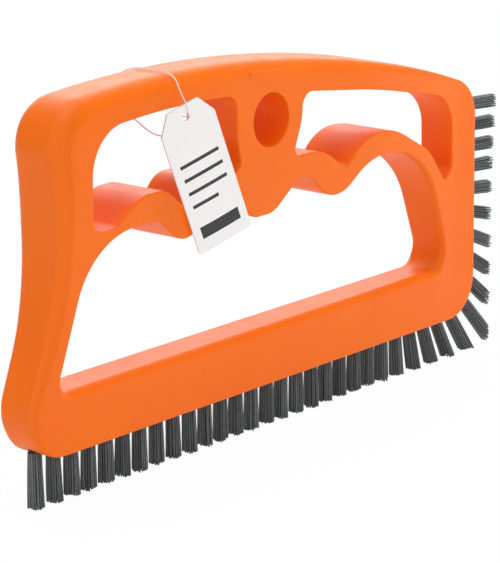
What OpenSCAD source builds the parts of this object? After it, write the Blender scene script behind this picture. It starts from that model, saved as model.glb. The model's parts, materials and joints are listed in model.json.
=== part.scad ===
// Grout brush: a moulded handle with finger windows, one row of stapled bristle tufts
// along its foot and up its nose, and a card tag on a string loop.
// Millimetres. +X is the bristled nose, -Y the face with the tag, +Z up.
// The origin is on the plane of the bristle tips, below the middle of the brush.

/* [Handle] */
// Thickness of the handle at the grip
grip_thickness = 18; // [16:0.5:22]
// Thickness of the handle along the bristled foot and nose
rim_thickness = 11; // [9:0.5:13]
// Height of the underside of the handle above the bristle tips
foot_z = 13.6; // [12:0.2:16]
// X of the flat nose of the handle, measured from the first tuft
nose_x = 181.3; // [179:0.1:183]
// Radius of the corner between foot and nose
corner_r = 12; // [9:0.5:14]
// Height of the foot bar between its underside and the finger window
foot_bar = 16.8; // [15:0.2:18]
// Height of the top arc's crown above the bristle tips
crown_z = 106; // [104:0.5:109]
// Radius of the top arc
top_r = 386; // [360:2:420]
// Thickness of the top bar under the arc
top_bar = 8.6; // [7:0.2:10]

/* [Hanging hole] */
// Radius of the hanging hole
hole_r = 7.3; // [5:0.1:8]
// X of the hanging hole
hole_x = 83.5; // [82:0.5:85]
// Height of the hanging hole
hole_z = 88.3; // [87:0.1:89.5]

/* [Tufts] */
// Number of tufts
tuft_count = 38; // [30:1:38]
// Number of tufts on the straight foot, before the row turns up the nose
foot_tufts = 24; // [22:1:26]
// Distance between tufts along the foot
foot_pitch = 6.5; // [6:0.05:6.7]
// Distance between tufts around the corner and up the nose
nose_pitch = 6.35; // [6:0.05:6.4]
// Radius of a tuft's drilled hole
tuft_hole_r = 1.9; // [1.8:0.05:2]
// Depth of a tuft's drilled hole
tuft_hole_depth = 8; // [6:0.5:8.5]
// Side of a bristle's square section
bristle_side = 0.6; // [0.4:0.05:0.6]
// Bristles in the inner ring of a tuft
inner_bristles = 3; // [2:1:4]
// Bristles in the outer ring of a tuft
outer_bristles = 7; // [6:1:8]
// Spread of the outer bristles, in degrees
bristle_spread = 0.8; // [0:0.1:1]
// Reach of the nose's bristles beyond the handle
nose_reach = 15.7; // [12:0.1:18]

/* [Anchors] */
// Thickness of the flat wire that anchors a tuft
anchor_thickness = 0.5; // [0.3:0.05:0.6]
// Height of the flat wire
anchor_height = 2; // [1.5:0.1:2.5]
// How far each end of the wire bites into the wall of the hole
anchor_bite = 0.15; // [0.05:0.05:0.3]

/* [Tag] */
// Width of the card tag
tag_w = 16.5; // [14:0.5:20]
// Length of the card tag
tag_l = 41.5; // [34:0.5:46]
// Thickness of the card
tag_t = 0.5; // [0.3:0.1:0.8]
// Cut corners at the tag's top: size across the tag
tag_cut_across = 3.5; // [2.5:0.5:5]
// Cut corners at the tag's top: size along the tag
tag_cut_along = 5.5; // [4:0.5:7]
// Radius of the tag's hole
tag_hole_r = 1.1; // [0.9:0.1:1.5]
// Lean of the tag in the plane of the face, in degrees
tag_lean = 23; // [0:1:30]
// Turn of the tag about its own length, in degrees
tag_turn = 19; // [8:1:20]
// Diameter of the string
string_d = 0.4; // [0.4:0.1:0.7]
// Diameter of the knot behind the tag
knot_d = 1.5; // [1.3:0.1:1.8]

/* [Hidden] */
// Fineness of the outlines: the largest gap between an arc and its chords
chord_gap = 0.08;
// How far the rounded edges run past the faces that cut them
cut_over = 0.01;
big = 400;
half_grip = grip_thickness / 2;
half_rim = rim_thickness / 2;
// Where the faces stop widening above the foot and start narrowing towards the nose
grip_start_z = 77;
grip_end_x = 130;
rim_start_x = 172;
slope_z = (half_grip - half_rim) / (grip_start_z - foot_z);
slope_x = (half_grip - half_rim) / (rim_start_x - grip_end_x);
// Half the thickness at a place of the outline
function half_at(p) =
    min(half_grip, half_rim + slope_z * (p[1] - foot_z),
        max(half_rim, half_grip - slope_x * (p[0] - grip_end_x)));
window_z = foot_z + foot_bar;
top_centre_x = 48;
top_centre_z = crown_z - top_r;
function top_z(x) = top_centre_z + sqrt(top_r * top_r - (x - top_centre_x) * (x - top_centre_x));

// Each corner of the outer outline: x, z, radius of the corner, rounding of the edges there
outer_corners = [
    [nose_x, 82.4, 12, 1],
    [nose_x, foot_z, corner_r, 0.8],
    [-12.4, foot_z, 12.3, 2],
    [7.4, 63.1, 91, 3.3],
    [0.4, top_z(16) - 1.2, 12.4, 5],
    [95, crown_z + 5.4, top_r, 5],
];

// Corners of the lower finger window: x, z, radius
lower_corners = [
    [2, window_z, 4], [14.5, 69, 22], [38.8, 69, 6], [49.6, 60.3, 7], [65, 72.2, 7],
    [77, 62.4, 6], [85.3, 62.4, 8], [98, 72, 7], [111.4, 59.4, 11], [127.3, 70.2, 21],
    [154.1, 70.3, 27.5], [167.2, window_z, 6],
];

// Corners of the left upper window, under the thick end of the top bar
left_corners = [
    [14.6, 70.2, 3.7], [22.5, 70.2, 5], [32, 76.8, 14], [42, 76.8, 8], [49.8, 69.6, 2.5],
    [56.5, 76.4, 8], [71.6, 76.4, 2.5], [69.5, 85, 12], [69.3, top_z(69.3) - top_bar, 3.5],
    [47, crown_z - top_bar + 0.7, 250], [14.6, top_z(14.6) - top_bar, 12.5],
];

// Corners of the right upper window, under the thin end of the top bar
right_corners = [
    [92.9, 76.5, 2], [105.4, 76.5, 17], [116.2, 69.3, 2.2], [123.3, 77.1, 17], [137.9, 77.1, 28],
    [157.2, 67.1, 18], [165.3, 56.7, 1.2], [169.3, 60.2, 2], [169, 80.8, 11.5],
    [130, top_z(130) - top_bar + 0.8, 250], [96.9, top_z(97) - top_bar - 0.4, 4], [96.8, 87, 12],
];

// Flat boss around the hanging hole, flush with the faces and cutting into the rounded shoulder
boss_x = [75, 89.3];
boss_z = [80, 101.5];

// Tufts: the foot's straight run, then the corner, then the nose
run_end = nose_x - corner_r;
corner_run = corner_r * PI / 2;
corner_z = foot_z + corner_r;
fan_start = 146;
fan_end = 216;
fan_angle = 87;
tip_drop = 1;
plug_r = tuft_hole_r - 0.05;
plug_sides = 10;
plug_depth = tuft_hole_depth - 0.1;
plug_out = 0.3;
// The rings of bristles clear each other and stay inside the plug's flats
ring_gap = 0.03;
inner_ring_r = bristle_side + ring_gap;
outer_ring_r = plug_r * cos(180 / plug_sides) - bristle_side / 2 - ring_gap;
bristle_root = 1;
tip_plane_rise = 0.04;
tip_plane_z = 85;
anchor_above_end = 1;
anchor_play = 0.05;

// Tag and string
tag_clear = 0.35;
tag_hole_down = 3.3;
tag_x = 45.4;
tag_z = 95.7;
tag_y = -half_grip - tag_clear - tag_t / 2 - (tag_w / 2) * sin(tag_turn);
string_sides = 8;
// Route of the string loop from the knot through the tag, over the top bar and back
string_route = [
    [45.4, tag_y + 1.7, 95.1], [45.4, tag_y + 1.0, 95.5], [45.4, tag_y, 95.7],
    [45.2, tag_y - 1.0, 95.9], [44.7, tag_y - 1.5, 96.8], [44.2, tag_y - 1.7, 98.3],
    [43.9, tag_y - 1.3, 99.9], [44.1, -12.3, 101.5], [44.8, -10.7, 103.1], [45.6, -9.2, 104.4],
    [45.9, -7.3, 105.7], [45.8, -4.8, 106.4], [45.7, -2, 106.5], [45.5, 1.2, 106.5],
    [45, 4.5, 106.4], [44.4, 7.3, 105.5], [43.9, 9.1, 103.9], [43.7, 9.5, 101.8],
    [43.7, 9.6, 99.4], [43.8, 9.4, 97.2], [43.9, 8.3, 95.5], [44, 5.8, 93.9],
    [44.1, 3, 92.6], [44.2, 0.6, 91.2], [44.4, -2, 90.1], [44.7, -4.6, 89.8],
    [45, -7, 90.7], [45.1, -8.7, 92.3], [45.1, -9.8, 94.1],
];

tuft_numbers = [for (i = [0:tuft_count - 1]) i];
function tuft_name(i) = str("tuft_", i < 9 ? "0" : "", i + 1);

// Geometry of outlines with rounded corners
function unit(v) = v / norm(v);
function turn(a, b) = let(d = b - a) d > 180 ? d - 360 : d < -180 ? d + 360 : d;
function arc_steps(r, angle) = max(2, ceil(abs(angle) / (2 * acos(1 - chord_gap / r))));
function xz(p) = [p[0], p[1]];

// Points of one rounded corner, each with the direction away from the arc's centre
function corner_points(a, b, c) =
    let(
        u = unit(xz(a) - xz(b)),
        v = unit(xz(c) - xz(b)),
        r = b[2],
        half = acos(u * v) / 2,
        centre = xz(b) + unit(u + v) * r / sin(half),
        from = xz(b) + u * r / tan(half) - centre,
        to = xz(b) + v * r / tan(half) - centre,
        start = atan2(from[1], from[0]),
        angle = turn(start, atan2(to[1], to[0])),
        steps = arc_steps(r, angle)
    )
    [for (k = [0:steps]) let(t = start + angle * k / steps) [for (q = centre + r * [cos(t), sin(t)]) q]];

function rounded(corners) =
    let(n = len(corners))
    [for (i = [0:n - 1]) each corner_points(corners[(i + n - 1) % n], corners[i], corners[(i + 1) % n])];

// Edge rounding of each point of a rounded outline
function edge_radii(corners) =
    let(n = len(corners))
    [for (i = [0:n - 1])
        let(count = len(corner_points(corners[(i + n - 1) % n], corners[i], corners[(i + 1) % n])))
        for (k = [1:count]) corners[i][3]];

// Inward normals of a clockwise outline
function inward(points) =
    let(n = len(points))
    [for (i = [0:n - 1])
        let(d = unit(points[(i + 1) % n] - points[(i + n - 1) % n])) [d[1], -d[0]]];

// Outer body with rounded edges. Its faces stand proud and are cut by the tapered space.
module rounded_body() {
    points = rounded(outer_corners);
    radii = edge_radii(outer_corners);
    normals = inward(points);
    n = len(points);
    steps = 3;
    proud = half_grip + 1;
    // Rings run from -Y to +Y: side, angle of the rounding, and whether it is a cap ring
    levels = concat(
        [[-1, 90, true]],
        [for (k = [0:steps]) [-1, 90 - 90 * k / steps, false]],
        [for (k = [0:steps]) [1, 90 * k / steps, false]],
        [[1, 90, true]]
    );
    ring_points = [
        for (level = levels, i = [0:n - 1])
            let(
                e = radii[i],
                q = points[i] + normals[i] * e * (1 - cos(level[1])),
                y = level[2] ? proud : half_at(points[i]) + cut_over - e * (1 - sin(level[1]))
            )
            [q[0], level[0] * y, q[1]]
    ];
    rings = len(levels);
    sides = [
        for (j = [0:rings - 2], i = [0:n - 1])
            let(a = j * n + i, b = j * n + (i + 1) % n)
            each [[a, a + n, b + n], [a, b + n, b]]
    ];
    front = [for (i = [1:n - 2]) [0, i, i + 1]];
    back = [for (i = [1:n - 2]) [(rings - 1) * n, (rings - 1) * n + i + 1, (rings - 1) * n + i]];
    polyhedron(ring_points, concat(sides, front, back), convexity = 6);
}

// The space that the tapered faces enclose
module tapered_space() {
    low_z = foot_z - 5;
    low_half = half_rim - slope_z * 5;
    intersection() {
        rotate([90, 0, 90])
            linear_extrude(big, center = true)
                polygon([
                    [-low_half, low_z], [low_half, low_z], [half_grip, grip_start_z],
                    [half_grip, crown_z + 10], [-half_grip, crown_z + 10], [-half_grip, grip_start_z],
                ]);
        linear_extrude(big, center = true)
            polygon([
                [-30, -half_grip], [grip_end_x, -half_grip], [rim_start_x, -half_rim],
                [nose_x + 10, -half_rim], [nose_x + 10, half_rim], [rim_start_x, half_rim],
                [grip_end_x, half_grip], [-30, half_grip],
            ]);
    }
}

module through(corners) {
    rotate([90, 0, 0])
        linear_extrude(grip_thickness + 4, center = true)
            polygon(rounded(corners));
}

// Distance of tuft i along the row
function row_place(i) = foot_pitch * min(i, foot_tufts - 1) + nose_pitch * max(0, i - foot_tufts + 1);
// Angle of a tuft away from straight down
function fan(s) = fan_angle * min(1, max(0, (s - fan_start) / (fan_end - fan_start)));
// Root of a tuft on the handle's outline
function root(s) =
    s < run_end ? [s, foot_z] :
    s < run_end + corner_run ?
        let(a = (s - run_end) / corner_r * 180 / PI)
        [run_end + corner_r * sin(a), corner_z - corner_r * cos(a)] :
    [nose_x, corner_z + s - run_end - corner_run];
// Free length down to the plane of the foot's tips, and out to the plane of the nose's tips
function to_floor(s) = fan(s) > 88 ? big : root(s)[1] / cos(fan(s));
function to_front(s) =
    let(p = root(s))
    fan(s) < 1 ? big : (nose_x + nose_reach + tip_plane_rise * (p[1] - tip_plane_z) - p[0]) / sin(fan(s));
function bristle_length(s) = to_floor(s) < to_front(s) ? to_floor(s) + tip_drop : to_front(s);

// The finished part is moved so that its middle lies over the origin
left_x = min([for (p = rounded(outer_corners)) p[0]]);
right_x = max([
    for (i = tuft_numbers)
        let(s = row_place(i))
        root(s)[0] + min(to_floor(s), to_front(s)) * sin(fan(s)) + plug_r * cos(fan(s))
]);
middle_x = (left_x + right_x) / 2;

// Places children with +Z running out along tuft i and z = 0 on the handle's surface
module at_tuft(i) {
    s = row_place(i);
    p = root(s);
    translate([p[0], 0, p[1]])
        rotate([0, 180 - fan(s), 0])
            children();
}

module in_place() {
    translate([-middle_x, 0, 0]) children();
}

module handle() {
    color("#F4731F")
        in_place()
            difference() {
                union() {
                    intersection() {
                        rounded_body();
                        tapered_space();
                    }
                    translate([boss_x[0], -half_grip, boss_z[0]])
                        cube([boss_x[1] - boss_x[0], grip_thickness, boss_z[1] - boss_z[0]]);
                }
                through(lower_corners);
                through(left_corners);
                through(right_corners);
                translate([hole_x, 0, hole_z])
                    rotate([90, 0, 0])
                        cylinder(h = grip_thickness + 4, r = hole_r, center = true, $fn = 96);
                for (i = tuft_numbers)
                    at_tuft(i)
                        translate([0, 0, -tuft_hole_depth])
                            cylinder(h = tuft_hole_depth + 6, r = tuft_hole_r, $fn = 32);
            }
}

// One square bristle from inside the plug to the tip
module bristle(ring_r, angle, length, lean) {
    rotate([0, 0, angle])
        translate([ring_r, 0, -bristle_root])
            rotate([0, lean, 0])
                linear_extrude(length + bristle_root)
                    square(bristle_side, center = true);
}

module tuft(i) {
    length = bristle_length(row_place(i));
    color("#474C4A")
        in_place()
            difference() {
                at_tuft(i) {
                    difference() {
                        translate([0, 0, -plug_depth])
                            cylinder(h = plug_depth + plug_out, r = plug_r, $fn = plug_sides);
                        translate([0, 0, anchor_above_end + anchor_height / 2 - plug_depth])
                            cube([anchor_thickness + 2 * anchor_play, 3 * tuft_hole_r,
                                anchor_height + 2 * anchor_play], center = true);
                    }
                    for (k = [0:inner_bristles - 1])
                        bristle(inner_ring_r, 45 + 360 * k / inner_bristles, length, 0);
                    for (k = [0:outer_bristles - 1])
                        bristle(outer_ring_r, 360 * k / outer_bristles, length, bristle_spread);
                }
                translate([-big / 2, -big / 2, -big])
                    cube(big);
            }
}

module tuft_anchors() {
    color("#B8BCC0")
        in_place()
            for (i = tuft_numbers)
                at_tuft(i)
                    translate([0, 0, anchor_above_end + anchor_height / 2 - plug_depth])
                        cube([anchor_thickness, 2 * (tuft_hole_r + anchor_bite), anchor_height],
                            center = true);
}

module swing_tag() {
    top = tag_hole_down;
    bottom = tag_hole_down - tag_l;
    side = tag_w / 2;
    color("#F2F2F0")
        in_place()
            translate([tag_x, tag_y, tag_z])
                rotate([0, -tag_lean, 0])
                    rotate([90, 0, -tag_turn])
                        linear_extrude(tag_t, center = true)
                            difference() {
                                polygon([
                                    [-side, bottom], [side, bottom], [side, top - tag_cut_along],
                                    [side - tag_cut_across, top], [tag_cut_across - side, top],
                                    [-side, top - tag_cut_along],
                                ]);
                                circle(tag_hole_r, $fn = 32);
                            }
}

// Tube along a route of points, with its rings square to the route
module tube(route, d, sides) {
    n = len(route);
    directions = [for (i = [0:n - 1]) unit(route[min(i + 1, n - 1)] - route[max(i - 1, 0)])];
    points = [
        for (i = [0:n - 1])
            let(
                t = directions[i],
                u = unit(cross(t, [1, 0, 0])),
                v = cross(t, u)
            )
            for (k = [0:sides - 1])
                let(a = 360 * k / sides)
                route[i] + (u * cos(a) + v * sin(a)) * d / 2
    ];
    walls = [
        for (i = [0:n - 2], k = [0:sides - 1])
            let(a = i * sides + k, b = i * sides + (k + 1) % sides)
            each [[a, b + sides, b], [a, a + sides, b + sides]]
    ];
    first = [for (k = [1:sides - 2]) [0, k, k + 1]];
    last_ring = (n - 1) * sides;
    last = [for (k = [1:sides - 2]) [last_ring, last_ring + k + 1, last_ring + k]];
    polyhedron(points, concat(walls, first, last), convexity = 4);
}

module tag_string() {
    first = string_route[0];
    last = string_route[len(string_route) - 1];
    color("#D9D9D6")
        in_place() {
            tube(string_route, string_d, string_sides);
            translate((first + last) / 2)
                sphere(d = knot_d, $fn = 10);
        }
}

handle();
tuft_anchors();
swing_tag();
tag_string();
for (i = tuft_numbers) tuft(i);
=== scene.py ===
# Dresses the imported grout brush: a moulded orange handle, nylon tufts, steel anchors,
# a card tag and its twisted string. Metres in the scene, millimetres in the tables below.
import json
import math
import random

import bmesh
import bpy
from mathutils import Matrix, Vector
from mathutils.geometry import delaunay_2d_cdt
from mathutils.kdtree import KDTree
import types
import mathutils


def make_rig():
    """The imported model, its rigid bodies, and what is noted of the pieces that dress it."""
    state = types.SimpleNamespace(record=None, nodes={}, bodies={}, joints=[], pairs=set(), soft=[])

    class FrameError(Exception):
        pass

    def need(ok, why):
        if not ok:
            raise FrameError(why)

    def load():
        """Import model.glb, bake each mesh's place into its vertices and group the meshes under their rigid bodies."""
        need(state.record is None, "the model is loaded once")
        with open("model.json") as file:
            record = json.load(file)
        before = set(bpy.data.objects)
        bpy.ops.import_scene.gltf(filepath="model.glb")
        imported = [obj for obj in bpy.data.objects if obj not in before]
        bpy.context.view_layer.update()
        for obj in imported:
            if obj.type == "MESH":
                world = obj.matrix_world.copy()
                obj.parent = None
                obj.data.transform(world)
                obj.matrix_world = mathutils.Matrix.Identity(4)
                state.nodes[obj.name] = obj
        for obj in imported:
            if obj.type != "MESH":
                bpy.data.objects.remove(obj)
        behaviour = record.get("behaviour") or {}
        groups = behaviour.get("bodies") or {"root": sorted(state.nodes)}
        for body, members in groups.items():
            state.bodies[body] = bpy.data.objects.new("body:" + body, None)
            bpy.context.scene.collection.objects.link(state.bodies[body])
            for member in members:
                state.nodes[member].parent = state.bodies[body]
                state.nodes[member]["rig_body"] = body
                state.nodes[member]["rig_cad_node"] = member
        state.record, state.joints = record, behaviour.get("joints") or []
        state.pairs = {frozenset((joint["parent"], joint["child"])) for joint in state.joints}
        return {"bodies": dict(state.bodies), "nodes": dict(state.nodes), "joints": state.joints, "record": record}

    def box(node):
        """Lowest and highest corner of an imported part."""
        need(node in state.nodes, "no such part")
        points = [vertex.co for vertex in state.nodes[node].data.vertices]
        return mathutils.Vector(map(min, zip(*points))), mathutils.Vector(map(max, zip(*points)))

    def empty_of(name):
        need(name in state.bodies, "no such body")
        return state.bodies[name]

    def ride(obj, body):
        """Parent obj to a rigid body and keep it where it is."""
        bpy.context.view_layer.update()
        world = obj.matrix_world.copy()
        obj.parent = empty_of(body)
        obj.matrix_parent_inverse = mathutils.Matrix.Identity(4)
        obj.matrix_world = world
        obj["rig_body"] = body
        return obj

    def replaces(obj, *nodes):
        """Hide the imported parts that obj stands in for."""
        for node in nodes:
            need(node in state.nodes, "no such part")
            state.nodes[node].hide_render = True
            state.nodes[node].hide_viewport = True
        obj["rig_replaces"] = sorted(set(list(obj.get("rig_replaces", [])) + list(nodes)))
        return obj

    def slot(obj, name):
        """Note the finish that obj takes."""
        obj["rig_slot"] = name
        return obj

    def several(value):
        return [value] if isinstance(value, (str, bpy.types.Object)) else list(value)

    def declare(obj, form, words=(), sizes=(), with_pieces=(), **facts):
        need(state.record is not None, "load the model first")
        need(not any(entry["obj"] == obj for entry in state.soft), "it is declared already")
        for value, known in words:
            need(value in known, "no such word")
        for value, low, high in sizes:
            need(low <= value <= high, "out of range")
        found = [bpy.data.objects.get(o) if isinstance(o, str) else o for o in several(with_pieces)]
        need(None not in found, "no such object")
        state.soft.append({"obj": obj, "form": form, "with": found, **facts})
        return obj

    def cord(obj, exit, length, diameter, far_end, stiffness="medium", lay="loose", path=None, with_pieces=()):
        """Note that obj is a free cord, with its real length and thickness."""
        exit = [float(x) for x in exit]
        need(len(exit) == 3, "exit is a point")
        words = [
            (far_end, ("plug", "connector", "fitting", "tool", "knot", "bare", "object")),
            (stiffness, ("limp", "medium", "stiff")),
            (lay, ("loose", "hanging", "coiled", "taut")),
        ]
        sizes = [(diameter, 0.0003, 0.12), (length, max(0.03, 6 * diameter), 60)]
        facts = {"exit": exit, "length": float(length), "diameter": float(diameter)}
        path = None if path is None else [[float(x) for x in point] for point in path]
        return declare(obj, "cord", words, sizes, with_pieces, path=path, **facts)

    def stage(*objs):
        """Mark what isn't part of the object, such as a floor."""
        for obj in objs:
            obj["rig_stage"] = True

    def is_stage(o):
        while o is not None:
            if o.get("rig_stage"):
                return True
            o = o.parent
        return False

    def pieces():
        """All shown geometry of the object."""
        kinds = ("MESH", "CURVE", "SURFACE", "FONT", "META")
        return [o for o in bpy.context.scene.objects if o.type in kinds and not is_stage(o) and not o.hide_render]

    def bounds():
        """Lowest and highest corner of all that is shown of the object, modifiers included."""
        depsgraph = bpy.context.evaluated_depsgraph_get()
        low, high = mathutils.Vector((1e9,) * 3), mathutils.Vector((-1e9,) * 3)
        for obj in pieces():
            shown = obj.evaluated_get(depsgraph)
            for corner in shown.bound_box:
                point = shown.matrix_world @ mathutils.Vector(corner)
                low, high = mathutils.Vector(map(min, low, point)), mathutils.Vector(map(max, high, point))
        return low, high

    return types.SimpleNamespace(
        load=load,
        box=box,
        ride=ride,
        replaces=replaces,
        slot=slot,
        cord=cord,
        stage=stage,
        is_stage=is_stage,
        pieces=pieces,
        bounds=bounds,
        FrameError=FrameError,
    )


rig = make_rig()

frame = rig.load()
cad_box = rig.bounds()

MM = 0.001
# Sizes that the solids also have
FOOT_Z = 13.6
NOSE_X = 181.3
CORNER_R = 12.0
HALF_GRIP = 9.0
HALF_RIM = 5.5
GRIP_START_Z = 77.0
GRIP_END_X = 130.0
RIM_START_X = 172.0
CROWN_Z = 106.0
TOP_R = 386.0
TOP_CENTRE_X = 48.0
TOP_BAR = 8.6
HOLE_X, HOLE_Z, HOLE_R = 83.5, 88.3, 7.3
# Angle of the crease between the hand window's wall and its rounded edge
CREASE = math.radians(10)
# The tables count x from the first tuft, and the frame's origin lies under the brush's middle
MIDDLE_X = NOSE_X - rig.box("handle")[1][0] / MM


def place(x, y, z):
    """A point of the tables as a point of the frame, in metres."""
    return Vector(((x - MIDDLE_X) * MM, y * MM, z * MM))


# Camera at the photograph's angle
def add_camera():
    data = bpy.data.cameras.new("camera")
    data.sensor_width = 36.0
    data.lens = 178.85
    data.clip_start = 0.05
    data.clip_end = 20.0
    camera = bpy.data.objects.new("camera", data)
    camera.location = (-0.57116, -0.47705, 0.23697)
    camera.rotation_euler = [math.radians(a) for a in (75.173, 0.520, -49.741)]
    bpy.context.scene.collection.objects.link(camera)
    bpy.context.scene.camera = camera


add_camera()


# Materials
def linear(hex_colour):
    """A screen colour written as #RRGGBB, as linear RGBA."""
    channels = [int(hex_colour[i : i + 2], 16) / 255 for i in (1, 3, 5)]
    return [c / 12.92 if c <= 0.04045 else ((c + 0.055) / 1.055) ** 2.4 for c in channels] + [1.0]


class Material:
    """A Principled material with short calls for the nodes that feed it."""

    def __init__(self, name, **constants):
        self.data = bpy.data.materials.new(name)
        self.data.use_nodes = True
        self.nodes = self.data.node_tree.nodes
        self.links = self.data.node_tree.links
        self.shader = self.nodes["Principled BSDF"]
        for socket, value in constants.items():
            self.shader.inputs[socket.replace("_", " ")].default_value = value

    def add(self, kind, inputs=None, **settings):
        node = self.nodes.new(kind)
        for key, value in settings.items():
            setattr(node, key, value)
        for socket, value in (inputs or {}).items():
            if isinstance(value, bpy.types.NodeSocket):
                self.links.new(value, node.inputs[socket])
            else:
                node.inputs[socket].default_value = value
        return node

    def feed(self, socket, output):
        self.links.new(output, self.shader.inputs[socket])

    def object_space(self):
        return self.add("ShaderNodeTexCoord").outputs["Object"]

    def noise(self, scale, detail=4.0, vector=None):
        inputs = {"Scale": scale, "Detail": detail, "Vector": vector or self.object_space()}
        return self.add("ShaderNodeTexNoise", inputs).outputs["Fac"]

    def span(self, value, low, high, from_low=0.0, from_high=1.0):
        inputs = {
            "Value": value,
            "From Min": from_low,
            "From Max": from_high,
            "To Min": low,
            "To Max": high,
        }
        return self.add("ShaderNodeMapRange", inputs).outputs["Result"]

    def mix(self, factor, first, second):
        node = self.add("ShaderNodeMix", data_type="RGBA")
        self.links.new(factor, node.inputs["Factor"])
        for socket, value in ((node.inputs["A"], first), (node.inputs["B"], second)):
            if isinstance(value, bpy.types.NodeSocket):
                self.links.new(value, socket)
            else:
                socket.default_value = value
        return node.outputs["Result"]

    def math(self, operation, first, second=0.0):
        node = self.add("ShaderNodeMath", {0: first, 1: second}, operation=operation)
        return node.outputs["Value"]

    def bump(self, height, strength, distance, normal=None):
        inputs = {"Height": height, "Strength": strength, "Distance": distance}
        if normal:
            inputs["Normal"] = normal
        return self.add("ShaderNodeBump", inputs).outputs["Normal"]


def handle_plastic():
    m = Material("handle_plastic", Roughness=0.42, IOR=1.33)
    cloud = m.noise(35.0, 3.0)
    speck = m.noise(1500.0, 2.0)
    colour = m.mix(m.span(cloud, 0.0, 1.0, 0.3, 0.7), linear("#F26A04"), linear("#F57006"))
    fleck = m.span(speck, 0.0, 0.04, 0.45, 0.75)
    m.feed("Base Color", m.mix(fleck, colour, linear("#FA8834")))
    m.feed("Roughness", m.span(m.noise(220.0, 5.0), 0.38, 0.48, 0.3, 0.7))
    skin = m.bump(m.noise(2600.0, 3.0), 0.05, 0.00003)
    m.feed("Normal", m.bump(m.noise(60.0, 2.0), 0.08, 0.0004, skin))
    return m.data


def bristle_nylon():
    m = Material("bristle_nylon", Roughness=0.45, IOR=1.53)
    shade = m.add("ShaderNodeAttribute", attribute_name="shade").outputs["Fac"]
    colour = m.mix(shade, linear("#424A4B"), linear("#727A7B"))
    patch = m.span(m.noise(900.0, 2.0), 0.0, 0.35, 0.4, 0.7)
    m.feed("Base Color", m.mix(patch, colour, linear("#33393A")))
    m.feed("Roughness", m.span(m.noise(1400.0, 2.0), 0.38, 0.55, 0.3, 0.7))
    return m.data


def anchor_steel():
    m = Material("anchor_steel", Roughness=0.35, Metallic=1.0)
    m.feed("Base Color", m.mix(m.noise(700.0, 3.0), linear("#8E9296"), linear("#C4C7CA")))
    m.feed("Roughness", m.span(m.noise(2400.0, 4.0), 0.28, 0.45))
    return m.data


# Ruled bars on the tag: along from and to, across from and to, in mm from the tag's hole
PRINTED_BARS = [
    (-13.2, -12.2, -6.0, 6.0),
    (-17.2, -16.2, -6.0, 6.0),
    (-21.2, -20.2, -6.0, 6.0),
    (-25.2, -24.2, -6.0, 2.0),
    (-34.5, -31.0, -6.0, 6.0),
]


def tag_card():
    """White card with plain ruled bars, placed by the card's own UVs in mm."""
    m = Material("tag_card", Roughness=0.5, IOR=1.45)
    uv = m.add("ShaderNodeUVMap", uv_map="card").outputs["UV"]
    parts = m.add("ShaderNodeSeparateXYZ", {"Vector": uv})
    across, along = parts.outputs["X"], parts.outputs["Y"]
    bars = None
    for low, high, left, right in PRINTED_BARS:
        inside = m.math("GREATER_THAN", along, low)
        inside = m.math("MULTIPLY", inside, m.math("LESS_THAN", along, high))
        inside = m.math("MULTIPLY", inside, m.math("GREATER_THAN", across, left))
        inside = m.math("MULTIPLY", inside, m.math("LESS_THAN", across, right))
        bars = inside if bars is None else m.math("MAXIMUM", bars, inside)
    fibre = m.noise(1800.0, 4.0)
    card = m.mix(m.span(fibre, 0.0, 1.0, 0.35, 0.65), linear("#FDFDFD"), linear("#F9F9F9"))
    m.feed("Base Color", m.mix(bars, card, linear("#3A3C3E")))
    m.feed("Normal", m.bump(fibre, 0.08, 0.00004))
    return m.data


# Painted shade: the card's rim faces are coloured grey, darker than the white card, to show the shade along its edges
def tag_rim_shade():
    m = Material("tag_rim_shade", Roughness=0.8)
    m.feed("Base Color", m.mix(m.noise(2500.0, 3.0), linear("#B4B6B6"), linear("#D2D3D2")))
    return m.data


def string_cotton():
    m = Material("string_cotton", Roughness=0.85)
    fuzz = m.noise(5200.0, 4.0)
    tone = m.span(fuzz, 0.0, 1.0, 0.3, 0.7)
    m.feed("Base Color", m.mix(tone, linear("#C9C7C2"), linear("#EFEEEA")))
    m.feed("Normal", m.bump(fuzz, 0.5, 0.00005))
    return m.data


# Outlines with rounded corners, as in the solids
def top_z(x):
    return CROWN_Z - TOP_R + math.sqrt(TOP_R**2 - (x - TOP_CENTRE_X) ** 2)


# Corners as x, z and radius
OUTER = [
    (NOSE_X, 82.4, 12),
    (NOSE_X, FOOT_Z, CORNER_R),
    (-12.4, FOOT_Z, 12.3),
    (7.4, 63.1, 91),
    (0.4, top_z(16) - 1.2, 12.4),
    (95, CROWN_Z + 5.4, TOP_R),
]
HAND_WINDOW = [
    (2, 30.4, 4), (14.5, 69, 22), (38.8, 69, 6), (49.6, 60.3, 7), (65, 72.2, 7), (77, 62.4, 6),
    (85.3, 62.4, 8), (98, 72, 7), (111.4, 59.4, 11), (127.3, 70.2, 21), (154.1, 70.3, 27.5),
    (167.2, 30.4, 6),
]
LEFT_WINDOW = [
    (14.6, 70.2, 3.7), (22.5, 70.2, 5), (32, 76.8, 14), (42, 76.8, 8), (49.8, 69.6, 2.5),
    (56.5, 76.4, 8), (71.6, 76.4, 2.5), (69.5, 85, 12), (69.3, top_z(69.3) - TOP_BAR, 3.5),
    (47, CROWN_Z - TOP_BAR + 0.7, 250), (14.6, top_z(14.6) - TOP_BAR, 12.5),
]
RIGHT_WINDOW = [
    (92.9, 76.5, 2), (105.4, 76.5, 17), (116.2, 69.3, 2.2), (123.3, 77.1, 17), (137.9, 77.1, 28),
    (157.2, 67.1, 18), (165.3, 56.7, 1.2), (169.3, 60.2, 2), (169, 80.8, 11.5),
    (130, top_z(130) - TOP_BAR + 0.8, 250), (96.9, top_z(97) - TOP_BAR - 0.4, 4), (96.8, 87, 12),
]


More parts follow.
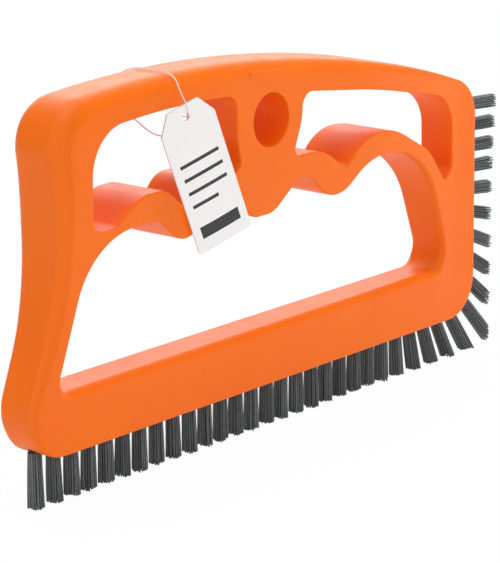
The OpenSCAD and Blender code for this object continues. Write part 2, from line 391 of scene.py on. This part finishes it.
def rounded(corners, gap=0.012, longest=2.5):
    """The outline's points: arcs in fine steps, and straight runs cut to short ones."""
    points = []
    count = len(corners)
    for i, (x, z, r) in enumerate(corners):
        here = Vector((x, z))
        u = (Vector(corners[i - 1][:2]) - here).normalized()
        v = (Vector(corners[(i + 1) % count][:2]) - here).normalized()
        half = math.acos(max(-1, min(1, u.dot(v)))) / 2
        centre = here + (u + v).normalized() * (r / math.sin(half))
        start = here + u * (r / math.tan(half)) - centre
        end = here + v * (r / math.tan(half)) - centre
        first = math.atan2(start.y, start.x)
        sweep = (math.atan2(end.y, end.x) - first + math.pi) % (2 * math.pi) - math.pi
        fine = 2 * math.acos(1 - gap / r)
        steps = max(3, math.ceil(abs(sweep) / min(fine, longest / r)))
        for k in range(steps + 1):
            a = first + sweep * k / steps
            points.append(centre + r * Vector((math.cos(a), math.sin(a))))
    out = []
    for p, q in zip(points, points[1:] + points[:1]):
        pieces = max(1, math.ceil((q - p).length / longest))
        out += [p.lerp(q, k / pieces) for k in range(pieces)]
    return out


def circle(x, z, r, steps=96):
    turns = [2 * math.pi * k / steps for k in range(steps)]
    return [Vector((x + r * math.cos(a), z + r * math.sin(a))) for a in turns]


def area(loop):
    return sum(p.x * q.y - q.x * p.y for p, q in zip(loop, loop[1:] + loop[:1])) / 2


def smooth_step(value, low, high):
    t = max(0.0, min(1.0, (value - low) / (high - low)))
    return t * t * (3 - 2 * t)


def soft_least(values, sharpness=5.0):
    """The least of the values, with a soft passage from one to the next."""
    return -math.log(sum(math.exp(-sharpness * v) for v in values)) / sharpness


def half_at(p):
    """Half the handle's thickness at a place of its outline."""
    by_height = HALF_RIM + (HALF_GRIP - HALF_RIM) * (p.y - FOOT_Z) / (GRIP_START_Z - FOOT_Z)
    by_nose = HALF_GRIP - (HALF_GRIP - HALF_RIM) * (p.x - GRIP_END_X) / (RIM_START_X - GRIP_END_X)
    by_nose = max(HALF_RIM, by_nose)
    return min(HALF_GRIP, soft_least([HALF_GRIP, by_height, by_nose]))


# Radius of the rounded edges, as a function of the place on each outline
def outer_edge(p):
    """Widest on the top bar, narrower down the left side, small at the nose and least at the foot."""
    left = 2.0 + 1.3 * smooth_step(p.y, 22, 50) + 1.7 * smooth_step(p.y, 70, 96)
    side = left + (0.9 - left) * smooth_step(p.x, 105, 174)
    return 0.6 + (side - 0.6) * smooth_step(p.y, FOOT_Z, FOOT_Z + 7)


def hand_edge(p):
    """Wide along the window's floor and at its right shoulder."""
    bottom = smooth_step(p.x, 1, 8) * (1 - smooth_step(p.y, 31, 36))
    right = smooth_step(p.x, 136, 158)
    return 0.5 + max(1.9 * bottom, 1.2 * right)


def window_edge(p):
    return 0.5


def hole_edge(p):
    return 0.3


def inward(loop, sign):
    """Normals that point into the material: sign is 1 for the outer outline, -1 for a window."""
    turn = 1 if area(loop) > 0 else -1
    normals = []
    for i in range(len(loop)):
        d = (loop[(i + 1) % len(loop)] - loop[i - 1]).normalized()
        normals.append(Vector((-d.y, d.x)) * turn * sign)
    return normals


def is_inside(p, loop):
    hit = False
    for a, b in zip(loop, loop[1:] + loop[:1]):
        if (a.y > p.y) != (b.y > p.y) and p.x < (b.x - a.x) * (p.y - a.y) / (b.y - a.y) + a.x:
            hit = not hit
    return hit


def clearance(p, loop):
    return min((p - q).length for q in loop)


def grid(x_from, x_to, y_from, y_to, step):
    x = x_from
    while x < x_to:
        y = y_from
        while y < y_to:
            yield Vector((x, y))
            y += step
        x += step


def filled(points, borders, in_material):
    """Triangles on the material's side of the borders, found by walking from the largest one."""
    result = delaunay_2d_cdt(points, borders, [], 0, 1e-6)
    triangles = [[result[3][k][0] for k in triangle] for triangle in result[2]]
    closed = {tuple(sorted(border)) for border in borders}
    owners = {}
    for number, (a, b, c) in enumerate(triangles):
        for edge in ((a, b), (b, c), (c, a)):
            owners.setdefault(tuple(sorted(edge)), []).append(number)

    def size(number):
        a, b, c = (points[k] for k in triangles[number])
        return abs((b - a).cross(c - a)) if in_material((a + b + c) / 3) else 0.0

    waiting = [max(range(len(triangles)), key=size)]
    found = set(waiting)
    while waiting:
        a, b, c = triangles[waiting.pop()]
        for edge in ((a, b), (b, c), (c, a)):
            key = tuple(sorted(edge))
            fresh = [] if key in closed else [n for n in owners[key] if n not in found]
            found.update(fresh)
            waiting += fresh
    return [triangles[number] for number in sorted(found)]


class Shell:
    """The handle's skin: rounded edges and a wall round every outline, and both faces."""

    # Spacing of the points inside a face, and their least distance from an outline
    spacing = 3.0
    margin = 1.6
    # Left end of those points
    face_start_x = -8.0

    def __init__(self, outlines, steps=6):
        self.verts = []
        self.faces = []
        self.steps = steps
        inner_rings = {}
        for number, (loop, sign, edge, first_angle) in enumerate(outlines):
            walls = {}
            for side in (-1, 1):
                rings = self.rings(loop, sign, edge, first_angle, side)
                walls[side] = rings[0]
                inner_rings[number, side] = rings[-1]
            self.strip(walls[-1], walls[1])
        for side in (-1, 1):
            self.cover([inner_rings[n, side] for n in range(len(outlines))], side)

    def vertex(self, p, y):
        self.verts.append(place(p.x, y, p.y))
        return len(self.verts) - 1

    def strip(self, first, second):
        count = len(first)
        for i in range(count):
            j = (i + 1) % count
            self.faces.append((first[i], first[j], second[j], second[i]))

    def rings(self, loop, sign, edge, first_angle, side):
        """Rings from the wall to the face. A first angle above zero leaves a crease at the wall."""
        normals = inward(loop, sign)
        rings = []
        for k in range(self.steps + 1):
            a = first_angle + (math.pi / 2 - first_angle) * k / self.steps
            ring = []
            for p, n in zip(loop, normals):
                r = edge(p) / math.cos(first_angle)
                q = p + n * r * (math.cos(first_angle) - math.cos(a))
                ring.append(self.vertex(q, side * (half_at(q) - r * (1 - math.sin(a)))))
            rings.append(ring)
        for a, b in zip(rings, rings[1:]):
            self.strip(a, b)
        return rings

    def flat(self, index):
        v = self.verts[index]
        return Vector((v.x / MM + MIDDLE_X, v.z / MM))

    def cover(self, rings, side):
        """One face: triangles between the innermost rings, on a grid fine enough for the tapers."""
        loops = [[self.flat(i) for i in ring] for ring in rings]
        indices = [i for ring in rings for i in ring]
        points = [p for loop in loops for p in loop]
        edges = []
        start = 0
        for loop in loops:
            edges += [(start + k, start + (k + 1) % len(loop)) for k in range(len(loop))]
            start += len(loop)
        for p in grid(self.face_start_x, NOSE_X, FOOT_Z, CROWN_Z, self.spacing):
            if self.in_material(p, loops) and min(clearance(p, loop) for loop in loops) > self.margin:
                indices.append(self.vertex(p, side * half_at(p)))
                points.append(p)
        for triangle in filled(points, edges, lambda p: self.in_material(p, loops)):
            self.faces.append(tuple(indices[k] for k in triangle))

    @staticmethod
    def in_material(p, loops):
        return is_inside(p, loops[0]) and not any(is_inside(p, loop) for loop in loops[1:])


def turn_normals_outward(mesh):
    work = bmesh.new()
    work.from_mesh(mesh)
    bmesh.ops.recalc_face_normals(work, faces=work.faces)
    work.to_mesh(mesh)
    work.free()


def link_piece(name, mesh, body=None):
    piece = bpy.data.objects.new(name, mesh)
    bpy.context.scene.collection.objects.link(piece)
    if body:
        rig.ride(piece, body)
    return piece


def add_piece(name, verts, faces, material, body=None, smooth=True):
    mesh = bpy.data.meshes.new(name)
    mesh.from_pydata(verts, [], faces)
    mesh.validate()
    turn_normals_outward(mesh)
    mesh.polygons.foreach_set("use_smooth", [smooth] * len(mesh.polygons))
    mesh.materials.append(material)
    return link_piece(name, mesh, body)


# The row of tufts
FOOT_TUFTS, TUFTS = 24, 38
FOOT_PITCH, NOSE_PITCH = 6.5, 6.35
TUFT_HOLE_R, TUFT_HOLE_DEPTH = 1.9, 8.0
# Where along the row the tufts begin and end to fan out, and the last one's angle
FAN_START, FAN_END, FAN_ANGLE = 146.0, 216.0, 87.0
# The plane of the nose's tips: its reach past the nose at a height, and how far it leans out
NOSE_REACH, TIP_PLANE_RISE, TIP_PLANE_Z = 15.7, 0.04, 85.0


def row_place(i):
    return FOOT_PITCH * min(i, FOOT_TUFTS - 1) + NOSE_PITCH * max(0, i - FOOT_TUFTS + 1)


def tuft_root(i):
    """Root on the handle's surface, angle away from straight down and free length of tuft i."""
    s = row_place(i)
    run = NOSE_X - CORNER_R
    bend = CORNER_R * math.pi / 2
    if s < run:
        x, z = s, FOOT_Z
    elif s < run + bend:
        a = (s - run) / CORNER_R
        x, z = run + CORNER_R * math.sin(a), FOOT_Z + CORNER_R - CORNER_R * math.cos(a)
    else:
        x, z = NOSE_X, FOOT_Z + CORNER_R + s - run - bend
    fan = math.radians(FAN_ANGLE * max(0.0, min(1.0, (s - FAN_START) / (FAN_END - FAN_START))))
    return x, z, fan, reach_from(x, z, fan)


def reach_from(x, z, fan):
    """Length from a place to the nearer of the two planes on which the tips are trimmed."""
    front = NOSE_X + NOSE_REACH + TIP_PLANE_RISE * (z - TIP_PLANE_Z) - x
    to_front = front / math.sin(fan) if fan > 0.02 else math.inf
    return min(z / math.cos(fan), to_front)


def tuft_matrix(i):
    """From a tuft's own space in mm, with z along it, to the frame in metres."""
    x, z, fan, _ = tuft_root(i)
    turn = Matrix.Rotation(math.pi - fan, 4, "Y")
    return Matrix.Translation(place(x, 0, z)) @ turn @ Matrix.Scale(MM, 4)


def tube(verts, faces, path, radii, sides, closed_ends=True):
    """Adds a tube along a path to the lists, with rings that don't twist against each other."""
    first = len(verts)
    count = len(path)
    side = (path[1] - path[0]).orthogonal().normalized()
    for i, p in enumerate(path):
        ahead = (path[min(i + 1, count - 1)] - path[max(i - 1, 0)]).normalized()
        side = (side - ahead * side.dot(ahead)).normalized()
        other = ahead.cross(side)
        for k in range(sides):
            a = 2 * math.pi * k / sides
            verts.append(p + (side * math.cos(a) + other * math.sin(a)) * radii[i])
    for i in range(count - 1):
        for k in range(sides):
            a, b = first + i * sides + k, first + i * sides + (k + 1) % sides
            faces.append((a, b, b + sides, a + sides))
    if closed_ends:
        faces.append(tuple(first + k for k in reversed(range(sides))))
        faces.append(tuple(first + (count - 1) * sides + k for k in range(sides)))


# Filaments of one tuft: radius of each ring and how many stand on it
FILAMENT_RINGS = [(0.0, 1), (0.58, 6), (1.09, 12), (1.62, 17)]
FILAMENT_R = 0.27
FILAMENT_SIDES, FILAMENT_STEPS = 6, 6
# How far a filament starts inside its hole
SEATED = 1.6
# Clumps of a tuft that are worn shorter: how many, their distance from its middle, and the most
CLUMPS, CLUMP_OFFSET, CLUMP_WEAR = 5, 1.2, 0.7
# The notch across the middle of a tip: its half width, and its depth on the nose and on the foot
NOTCH_HALF, NOSE_NOTCH, FOOT_NOTCH = 1.4, 0.9, 0.3
NOSE_FAN = 0.5


def filament_places(rng):
    """Places of filaments packed in rings, each ring turned at random."""
    places = []
    for radius, count in FILAMENT_RINGS:
        first = rng.uniform(0, 2 * math.pi)
        for k in range(count):
            a = first + 2 * math.pi * k / count
            places.append(Vector((math.cos(a), math.sin(a))) * radius)
    return places


def squarish(offset):
    """How much farther out a filament ends, where a round tuft opens to a squarer tip."""
    if offset.length == 0:
        return 1.0
    return (offset.length / max(abs(offset.x), abs(offset.y))) ** 0.5


def add_tuft(i, nylon):
    """Thirty-six nylon filaments, tight in their hole and opening a little towards uneven tips."""
    rng = random.Random(500 + i)
    x, z, fan, free = tuft_root(i)
    matrix = tuft_matrix(i)
    lean = Vector((rng.gauss(0, 0.09), rng.gauss(0, 0.10)))
    clumps = []
    for _ in range(CLUMPS):
        a = rng.uniform(0, 2 * math.pi)
        middle = Vector((CLUMP_OFFSET * math.cos(a), CLUMP_OFFSET * math.sin(a)))
        clumps.append((middle, rng.uniform(0, CLUMP_WEAR)))
    verts, faces, shades = [], [], []
    for p in filament_places(rng):
        bow = Vector((rng.gauss(0, 0.04), rng.gauss(0, 0.04)))
        root = p * 0.98
        end = p * squarish(p) * rng.uniform(1.04, 1.12) + lean
        end += Vector((rng.gauss(0, 0.05), rng.gauss(0, 0.05)))
        # Trimmed on the planes of the tips, each a little short of the cut
        low = end.x + FILAMENT_R
        cut = reach_from(x - low * math.cos(fan), z - low * math.sin(fan), fan)
        wear = min(clumps, key=lambda clump: (p - clump[0]).length)[1]
        notch = (NOSE_NOTCH if fan > NOSE_FAN else FOOT_NOTCH) * max(0.0, 1.0 - abs(end.x) / NOTCH_HALF)
        length = cut - max(wear, notch) - min(0.5, abs(rng.gauss(0, 0.2)))
        path = []
        for k in range(FILAMENT_STEPS):
            t = k / (FILAMENT_STEPS - 1)
            along = -SEATED + (length + SEATED) * t
            u = max(0.0, along) / free
            q = root.lerp(end, u**0.7) + bow * math.sin(math.pi * min(1.0, u))
            path.append(Vector((q.x, q.y, along)))
        radius = FILAMENT_R * rng.uniform(0.92, 1.0)
        radii = [radius] * (FILAMENT_STEPS - 1) + [radius * 0.93]
        tube(verts, faces, path, radii, FILAMENT_SIDES)
        shade = max(0.0, min(1.0, rng.gauss(0.45, 0.25)))
        shades += [shade] * (FILAMENT_SIDES * FILAMENT_STEPS)
    in_frame = [matrix @ v for v in verts]
    piece = add_piece(f"bristles_{i + 1:02d}", in_frame, faces, nylon, "brush")
    piece.data.attributes.new("shade", "FLOAT", "POINT").data.foreach_set("value", shades)
    piece.modifiers.new("keep the cut ends crisp", "WEIGHTED_NORMAL")
    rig.replaces(piece, f"tuft_{i + 1:02d}")
    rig.slot(piece, "bristles")
    return piece


def apply_modifiers(piece):
    """Puts the mesh that the modifiers give in place of the piece's own."""
    bpy.context.view_layer.update()
    solved = piece.evaluated_get(bpy.context.evaluated_depsgraph_get())
    mesh = bpy.data.meshes.new_from_object(solved)
    piece.modifiers.clear()
    old = piece.data
    mesh.name = old.name + "_cut"
    piece.data = mesh
    bpy.data.meshes.remove(old)


def apply_boolean(piece, cutter, operation):
    """Joins the cutter to the piece, or cuts it away, and deletes the cutter."""
    modifier = piece.modifiers.new("cut", "BOOLEAN")
    modifier.operation = operation
    modifier.solver = "EXACT"
    modifier.object = cutter
    apply_modifiers(piece)
    bpy.data.objects.remove(cutter)


def tuft_hole_cutter(material):
    past_surface, sides = 4.0, 28
    path = [Vector((0, 0, -TUFT_HOLE_DEPTH)), Vector((0, 0, past_surface))]
    verts, faces = [], []
    for i in range(TUFTS):
        matrix = tuft_matrix(i)
        own_verts, own_faces = [], []
        tube(own_verts, own_faces, path, [TUFT_HOLE_R] * 2, sides)
        start = len(verts)
        verts += [matrix @ v for v in own_verts]
        faces += [tuple(start + k for k in face) for face in own_faces]
    return add_piece("tuft_hole_cutter", verts, faces, material)


def hanging_block(material):
    """The flat block that breaks the rounded shoulder above the hanging hole."""
    left, right, low = 75.0, 89.3, 96.5
    tops = {left: 102.3, right: 101.2}
    half = HALF_GRIP - 0.015
    verts = []
    for y in (-half, half):
        for x in (left, right):
            verts.append(place(x, y, low))
            verts.append(place(x, y, tops[x]))
    faces = [(0, 1, 3, 2), (4, 6, 7, 5), (0, 4, 5, 1), (2, 3, 7, 6), (1, 5, 7, 3), (0, 2, 6, 4)]
    block = add_piece("hanging_block", verts, faces, material, smooth=False)
    bevel = block.modifiers.new("soft edges", "BEVEL")
    bevel.width = 0.3 * MM
    bevel.segments = 3
    apply_modifiers(block)
    return block


def keep_crease(mesh, outline):
    """Marks the edge between the hand window's wall and its rounding as sharp."""
    touching, same_level = 0.002 * MM, 0.5 * MM
    tree = KDTree(len(outline))
    for i, p in enumerate(outline):
        tree.insert(place(p.x, 0, p.y), i)
    tree.balance()
    on_wall = [tree.find(Vector((v.co.x, 0, v.co.z)))[2] < touching for v in mesh.vertices]
    for edge in mesh.edges:
        a, b = edge.vertices
        level = abs(mesh.vertices[a].co.y - mesh.vertices[b].co.y) < same_level
        if on_wall[a] and on_wall[b] and level:
            edge.use_edge_sharp = True


def add_handle():
    plastic = handle_plastic()
    outlines = [
        (rounded(OUTER), 1, outer_edge, 0.0),
        (rounded(HAND_WINDOW), -1, hand_edge, CREASE),
        (rounded(LEFT_WINDOW), -1, window_edge, 0.0),
        (rounded(RIGHT_WINDOW), -1, window_edge, 0.0),
        (circle(HOLE_X, HOLE_Z, HOLE_R), -1, hole_edge, 0.0),
    ]
    shell = Shell(outlines)
    piece = add_piece("moulded_handle", shell.verts, shell.faces, plastic)
    apply_boolean(piece, hanging_block(plastic), "UNION")
    apply_boolean(piece, tuft_hole_cutter(plastic), "DIFFERENCE")
    piece.data.polygons.foreach_set("use_smooth", [True] * len(piece.data.polygons))
    piece.data.set_sharp_from_angle(angle=math.radians(38))
    keep_crease(piece.data, outlines[1][0])
    normals = piece.modifiers.new("flat faces stay flat", "WEIGHTED_NORMAL")
    normals.weight = 60
    normals.keep_sharp = True
    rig.ride(piece, "brush")
    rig.replaces(piece, "handle")
    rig.slot(piece, "handle_plastic")
    return piece


# String: the solids' route, from the knot through the tag's hole, over the top bar and back
TAG_X, TAG_Z = 45.4, 95.7
TAG_W, TAG_L, TAG_T = 16.5, 41.5, 0.5
TAG_GAP = 0.35
TAG_CUT_ACROSS, TAG_CUT_ALONG = 3.5, 5.5
TAG_HOLE_R, TAG_HOLE_DOWN = 1.1, 3.3
TAG_LEAN, TAG_TURN = 23.0, 19.0
TAG_Y = -HALF_GRIP - TAG_GAP - TAG_T / 2 - TAG_W / 2 * math.sin(math.radians(TAG_TURN))
STRING_D = 0.4
STRING_ROUTE = [
    (45.4, TAG_Y + 1.7, 95.1), (45.4, TAG_Y + 1.0, 95.5), (45.4, TAG_Y, 95.7),
    (45.2, TAG_Y - 1.0, 95.9), (44.7, TAG_Y - 1.5, 96.8), (44.2, TAG_Y - 1.7, 98.3),
    (43.9, TAG_Y - 1.3, 99.9), (44.1, -12.3, 101.5), (44.8, -10.7, 103.1), (45.6, -9.2, 104.4),
    (45.9, -7.3, 105.7), (45.8, -4.8, 106.4), (45.7, -2, 106.5), (45.5, 1.2, 106.5),
    (45, 4.5, 106.4), (44.4, 7.3, 105.5), (43.9, 9.1, 103.9), (43.7, 9.5, 101.8),
    (43.7, 9.6, 99.4), (43.8, 9.4, 97.2), (43.9, 8.3, 95.5), (44, 5.8, 93.9),
    (44.1, 3, 92.6), (44.2, 0.6, 91.2), (44.4, -2, 90.1), (44.7, -4.6, 89.8),
    (45, -7, 90.7), (45.1, -8.7, 92.3), (45.1, -9.8, 94.1),
]


def curve_through(points, step=0.2):
    """A smooth line through the points, as points a step apart."""
    fine = []
    count = len(points)
    for i in range(count - 1):
        p0, p1 = points[max(i - 1, 0)], points[i]
        p2, p3 = points[i + 1], points[min(i + 2, count - 1)]
        steps = max(2, math.ceil((p2 - p1).length / step))
        for k in range(steps):
            t = k / steps
            fine.append(
                0.5 * (2 * p1 + (p2 - p0) * t + (2 * p0 - 5 * p1 + 4 * p2 - p3) * t * t
                       + (3 * p1 - p0 - 3 * p2 + p3) * t**3)
            )
    fine.append(points[-1].copy())
    return fine


def add_string():
    cotton = string_cotton()
    line = curve_through([Vector(p) for p in STRING_ROUTE])
    verts, faces = [], []
    plies, lay, ply_r, ply_sides = 2, 1.2, 0.108, 8
    twist_r = STRING_D / 2 - ply_r
    side = (line[1] - line[0]).orthogonal().normalized()
    frames = []
    walked = 0.0
    for i, p in enumerate(line):
        ahead = (line[min(i + 1, len(line) - 1)] - line[max(i - 1, 0)]).normalized()
        side = (side - ahead * side.dot(ahead)).normalized()
        if i:
            walked += (p - line[i - 1]).length
        frames.append((p, side.copy(), ahead.cross(side), walked))
    for ply in range(plies):
        path = []
        for p, s, o, w in frames:
            a = 2 * math.pi * (w / lay + ply / plies)
            path.append(p + (s * math.cos(a) + o * math.sin(a)) * twist_r)
        tube(verts, faces, path, [ply_r] * len(path), ply_sides)
    in_frame = [place(*v) for v in verts]
    piece = add_piece("twisted_string", in_frame, faces, cotton, "string_loop")
    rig.replaces(piece, "tag_string")
    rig.slot(piece, "tag_string")
    knot = add_knot(cotton)
    path = [place(*p) for p in line]
    length = sum((b - a).length for a, b in zip(path, path[1:]))
    return piece, knot, path, length


def add_knot(cotton):
    """A small overhand knot where the loop's two ends meet, with its two short tails."""
    ends = [Vector(STRING_ROUTE[0]), Vector(STRING_ROUTE[-1])]
    middle = (ends[0] + ends[1]) / 2
    steps, size, strand_r, sides = 72, 0.15, 0.17, 8
    verts, faces = [], []
    path = []
    for k in range(steps + 1):
        a = 2 * math.pi * k / steps
        x = math.sin(a) + 2 * math.sin(2 * a)
        y = 1.3 * math.sin(3 * a)
        z = math.cos(a) - 2 * math.cos(2 * a)
        path.append(middle + size * Vector((x, y, z)))
    tube(verts, faces, path, [strand_r] * len(path), sides)
    for dx, dz in ((0.3, -0.6), (-0.25, -0.65)):
        tail = [middle + Vector((dx * t, 0.1 * t, dz * t)) for t in (0.2, 0.5, 0.8, 1.0)]
        tube(verts, faces, tail, [0.15, 0.15, 0.14, 0.11], sides)
    knot = add_piece("string_knot", [place(*v) for v in verts], faces, cotton, "string_loop")
    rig.slot(knot, "tag_string")
    return knot


def tag_outline():
    side, top, bottom = TAG_W / 2, TAG_HOLE_DOWN, TAG_HOLE_DOWN - TAG_L
    corners = [
        (-side, bottom, 0.5), (side, bottom, 0.5), (side, top - TAG_CUT_ALONG, 0.8),
        (side - TAG_CUT_ACROSS, top, 0.8), (TAG_CUT_ACROSS - side, top, 0.8),
        (-side, top - TAG_CUT_ALONG, 0.8),
    ]
    return rounded(corners, gap=0.01, longest=2.0)


def add_tag():
    """The card, slightly curled across, with ruled bars, a grey rim painted as the shade along its edges, and a
    punched hole.
    """
    spacing, margin, curl_height = 1.5, 0.7, 0.25
    outline = tag_outline()
    hole = circle(0.0, 0.0, TAG_HOLE_R, 40)
    upright = Matrix.Rotation(math.radians(90), 4, "X")
    turn = Matrix.Rotation(math.radians(-TAG_TURN), 4, "Z")
    lean = Matrix.Rotation(math.radians(-TAG_LEAN), 4, "Y")
    matrix = lean @ (turn @ upright)

    def on_card(p, depth):
        curl = curl_height * math.sin(math.pi * (p.x / TAG_W + 0.5)) * smooth_step(-p.y, 4, 30)
        v = matrix @ Vector((p.x, p.y, depth + curl))
        return place(TAG_X + v.x, TAG_Y + v.y, TAG_Z + v.z)

    points = outline + hole
    edges = [(k, (k + 1) % len(outline)) for k in range(len(outline))]
    edges += [(len(outline) + k, len(outline) + (k + 1) % len(hole)) for k in range(len(hole))]
    low = TAG_HOLE_DOWN - TAG_L
    for p in grid(-TAG_W / 2 + spacing, TAG_W / 2, low + spacing, TAG_HOLE_DOWN, spacing):
        off_rim = clearance(p, outline) > margin and p.length > TAG_HOLE_R + margin
        if off_rim and is_inside(p, outline):
            points.append(p)
    triangles = filled(points, edges, lambda p: is_inside(p, outline) and not is_inside(p, hole))
    count = len(points)
    verts = [on_card(p, TAG_T / 2) for p in points] + [on_card(p, -TAG_T / 2) for p in points]
    faces = [tuple(t) for t in triangles]
    faces += [tuple(count + k for k in reversed(t)) for t in triangles]
    rim_start = len(faces)
    for a, b in edges:
        faces.append((a, b, count + b, count + a))
    mesh = bpy.data.meshes.new("swing_tag_card")
    mesh.from_pydata(verts, [], faces)
    layer = mesh.uv_layers.new(name="card")
    for loop in mesh.loops:
        p = points[loop.vertex_index % count]
        layer.data[loop.index].uv = (p.x, p.y)
    mesh.materials.append(tag_card())
    # The second material paints the rim faces grey as shade along the card's edges
    mesh.materials.append(tag_rim_shade())
    for polygon in mesh.polygons:
        polygon.material_index = 1 if polygon.index >= rim_start else 0
        polygon.use_smooth = polygon.index < rim_start
    turn_normals_outward(mesh)
    mesh.set_sharp_from_angle(angle=math.radians(40))
    piece = link_piece("swing_tag_card", mesh, "tag")
    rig.replaces(piece, "swing_tag")
    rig.slot(piece, "tag_card")
    return piece


# Floor, world and lamps
def add_floor():
    half = 3.0
    verts = [Vector((x * half, y * half, 0)) for x, y in ((-1, -1), (1, -1), (1, 1), (-1, 1))]
    floor = add_piece("floor", verts, [(0, 1, 2, 3)], floor_paint(), smooth=False)
    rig.stage(floor)


def floor_paint():
    """Pale paint that the camera sees nearly white."""
    share_of_glow = 0.97
    m = Material("floor_paint", Roughness=0.9)
    grain = m.noise(40.0, 3.0)
    m.feed("Base Color", m.mix(grain, linear("#E9E9E8"), linear("#EEEEEE")))
    glow = m.add("ShaderNodeEmission", {"Color": (1, 1, 1, 1), "Strength": 1.0})
    seen = m.add("ShaderNodeLightPath").outputs["Is Camera Ray"]
    factor = m.math("MULTIPLY", seen, share_of_glow)
    mix = m.add("ShaderNodeMixShader", {0: factor, 1: m.shader.outputs[0], 2: glow.outputs[0]})
    m.links.new(mix.outputs[0], m.nodes["Material Output"].inputs["Surface"])
    return m.data


def add_world():
    """White where the camera sees it, and a soft fill light elsewhere."""
    fill, white = 0.38, 1.0
    world = bpy.data.worlds.new("studio")
    world.use_nodes = True
    bpy.context.scene.world = world
    tree = world.node_tree
    background = tree.nodes["Background"]
    strength = tree.nodes.new("ShaderNodeMapRange")
    strength.inputs["To Min"].default_value = fill
    strength.inputs["To Max"].default_value = white
    seen = tree.nodes.new("ShaderNodeLightPath").outputs["Is Camera Ray"]
    tree.links.new(seen, strength.inputs["Value"])
    tree.links.new(strength.outputs["Result"], background.inputs["Strength"])
    background.inputs["Color"].default_value = (1, 1, 1, 1)


def add_lamp(name, place_m, aim_m, size, power, sheen=True):
    """A soft box. Without sheen it lights the surfaces and isn't mirrored in them."""
    data = bpy.data.lights.new(name, "AREA")
    data.shape = "RECTANGLE"
    data.size, data.size_y = size
    data.energy = power
    lamp = bpy.data.objects.new(name, data)
    lamp.location = place_m
    direction = Vector(aim_m) - Vector(place_m)
    lamp.rotation_euler = direction.to_track_quat("-Z", "Y").to_euler()
    lamp.visible_glossy = sheen
    bpy.context.scene.collection.objects.link(lamp)


def add_lamps():
    add_lamp("overhead", (-0.05, 0.05, 0.9), (0, 0, 0.05), (0.9, 0.7), 4.5)
    add_lamp("front", (-0.5, -0.9, 0.45), (0, 0, 0.05), (0.8, 0.5), 2.3, sheen=False)
    add_lamp("left", (-1.0, -0.1, 0.35), (0, 0, 0.05), (0.5, 0.5), 1.3)
    add_lamp("right", (1.5, -0.45, 0.35), (0, 0, 0.07), (0.3, 0.3), 17.0, sheen=False)
    add_lamp("back", (0.55, 0.6, 0.5), (0, 0, 0.08), (0.9, 0.6), 4.7)


string, knot, string_path, string_length = add_string()
card = add_tag()
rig.cord(
    string,
    exit=string_path[0],
    length=string_length,
    diameter=STRING_D * MM,
    far_end="knot",
    stiffness="limp",
    lay="taut",
    path=string_path,
    with_pieces=[knot, card],
)
add_handle()
nylon = bristle_nylon()
for number in range(TUFTS):
    add_tuft(number, nylon)
anchors = frame["nodes"]["tuft_anchors"]
anchors.data.materials.clear()
anchors.data.materials.append(anchor_steel())
add_floor()
add_world()
add_lamps()
bpy.context.scene.view_settings.view_transform = "Standard"

bpy.context.view_layer.update()
with open("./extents.json", "w") as out:
    json.dump({"cad": [list(v) for v in cad_box], "visual": [list(v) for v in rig.bounds()]}, out)
